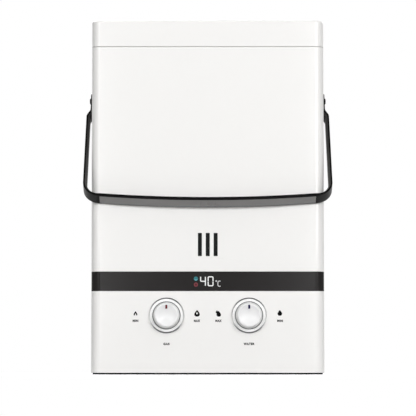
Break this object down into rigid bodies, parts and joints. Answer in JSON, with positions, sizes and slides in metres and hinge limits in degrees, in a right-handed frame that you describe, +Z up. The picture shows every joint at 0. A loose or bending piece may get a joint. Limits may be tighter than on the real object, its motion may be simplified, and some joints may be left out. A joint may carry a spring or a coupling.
{
  "type": "portable propane water heater",
  "caption": "Free-standing white gas water heater with a swinging bail handle, two control knobs and a dark display strip.",
  "frame": {"origin": "on the ground under the middle of the whole heater, with the handle leaning on the front", "axes": "+X to the right seen from the front, +Y to the back, +Z up"},
  "size_m": [0.312, 0.1834, 0.445],
  "materials": {
    "white_shell": "moulded, painted satin white",
    "display_black": "smoked glossy",
    "display_parts": "lamp block on a board",
    "knob_white": "satin, pearl white",
    "bezel": "gloss white with a dark chrome edge",
    "pointer_red": "inlaid",
    "pointer_blue": "inlaid",
    "handle_black": "coated strap, satin",
    "grip_grey": "soft touch",
    "steel": "stamped sheet",
    "black_screw": "black oxide",
    "copper": "drawn copper",
    "brass": "machined",
    "alloy": "die cast",
    "black_plastic": "fine grain",
    "foot_rubber": "plain",
    "sight_mica": "mica",
    "ceramic": "glazed rod",
    "cell": "plain sleeve"
  },
  "bodies": {
    "root": {"back_screws": "steel", "back_shell": "white_shell", "batteries": "cell", "battery_box": "black_plastic", "bottom_plate": "steel", "burner_tray": "steel", "burners": "steel", "cold_pipe": "copper", "combustion_chamber": "steel", "control_box": "black_plastic", "display_module": "display_parts", "display_strip": "display_black", "drain_plug": "black_plastic", "exchanger_casing": "copper", "exchanger_coil": "copper", "exchanger_fins": "copper", "feet": "foot_rubber", "flame_sensor": "ceramic", "flue_grille": "steel", "flue_hood": "steel", "front_cover": "white_shell", "gas_bezel": "bezel", "gas_feed_pipe": "copper", "gas_inlet": "brass", "gas_inlet_pipe": "copper", "gas_manifold": "brass", "gas_valve": "alloy", "hot_pipe": "copper", "ignition_electrodes": "ceramic", "micro_switch": "black_plastic", "overheat_switch": "steel", "pivot_bracket_left": "steel", "pivot_bracket_right": "steel", "pivot_screws": "black_screw", "sight_glass": "sight_mica", "support_left": "steel", "support_right": "steel", "switch_housing": "black_plastic", "top_cover": "white_shell", "water_bezel": "bezel", "water_inlet": "brass", "water_inlet_pipe": "copper", "water_outlet": "brass", "water_valve": "alloy"},
    "handle": {"handle": "handle_black", "handle_grip": "grip_grey"},
    "gas_control": {"gas_knob": "knob_white", "gas_pointer": "pointer_red", "gas_spindle": "steel"},
    "water_control": {"water_knob": "knob_white", "water_pointer": "pointer_blue", "water_spindle": "steel"},
    "battery_lid": {"battery_door": "black_plastic"},
    "rocker": {"power_rocker": "black_plastic"}
  },
  "joints": [
    {"name": "handle_swing", "type": "hinge", "parent": "root", "child": "handle", "pos_m": [0, 0.0024, 0.3506], "axis": [-1, 0, 0], "range_deg": [0, 294]},
    {"name": "gas_turn", "type": "hinge", "parent": "root", "child": "gas_control", "pos_m": [-0.0515, -0.0719, 0.0735], "axis": [0, 1, 0], "range_deg": [-90, 90]},
    {"name": "water_turn", "type": "hinge", "parent": "root", "child": "water_control", "pos_m": [0.0515, -0.0719, 0.0735], "axis": [0, 1, 0], "range_deg": [-90, 90]},
    {"name": "battery_door_swing", "type": "hinge", "parent": "root", "child": "battery_lid", "pos_m": [0, 0.0752, 0.02215], "axis": [-1, 0, 0], "range_deg": [0, 92]},
    {"name": "power_rock", "type": "hinge", "parent": "root", "child": "rocker", "pos_m": [-0.106, 0.0717, 0.06], "axis": [-1, 0, 0], "range_deg": [0, 24]}
  ]
}
